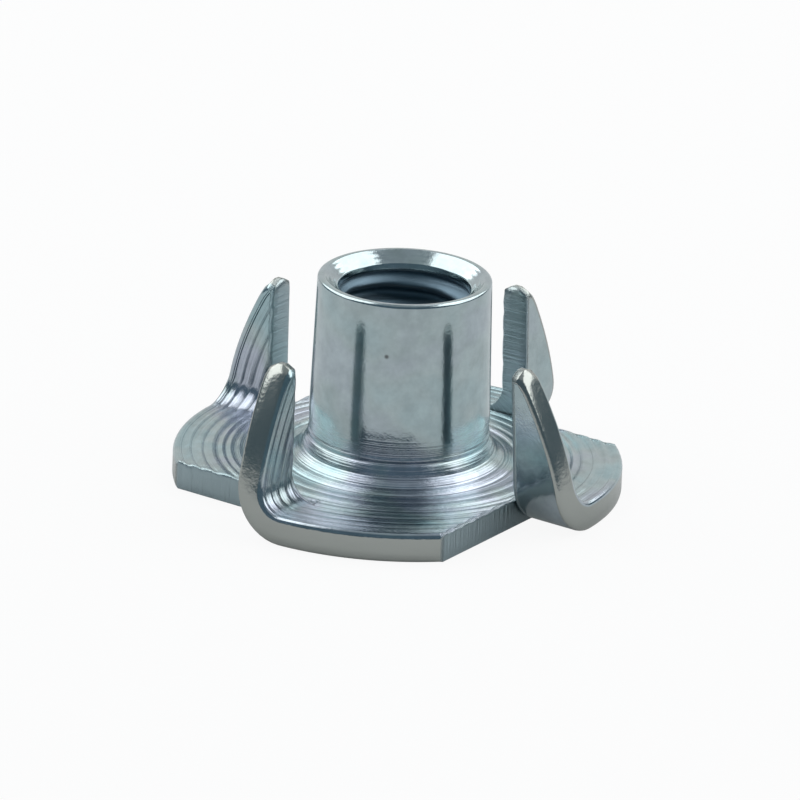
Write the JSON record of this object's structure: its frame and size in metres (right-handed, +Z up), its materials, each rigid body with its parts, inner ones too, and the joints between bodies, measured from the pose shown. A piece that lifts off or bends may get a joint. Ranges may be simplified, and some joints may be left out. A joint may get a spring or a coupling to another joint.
{
  "type": "tee nut",
  "caption": "Flanged barrel nut pressed from sheet steel, with upright prongs round a tapped barrel, zinc plated, for driving into a board.",
  "frame": {"origin": "centre of the barrel's axis in the flange's underside, on the surface the nut stands on", "axes": "+Z up along the barrel to its rim, +X and +Y square to the slits' lines"},
  "size_m": [0.0188, 0.0188, 0.0091],
  "materials": {
    "zinc_plate": "bright bluish zinc plate over pressed mild steel"
  },
  "bodies": {
    "root": {"tee_nut": "zinc_plate"}
  },
  "joints": []
}
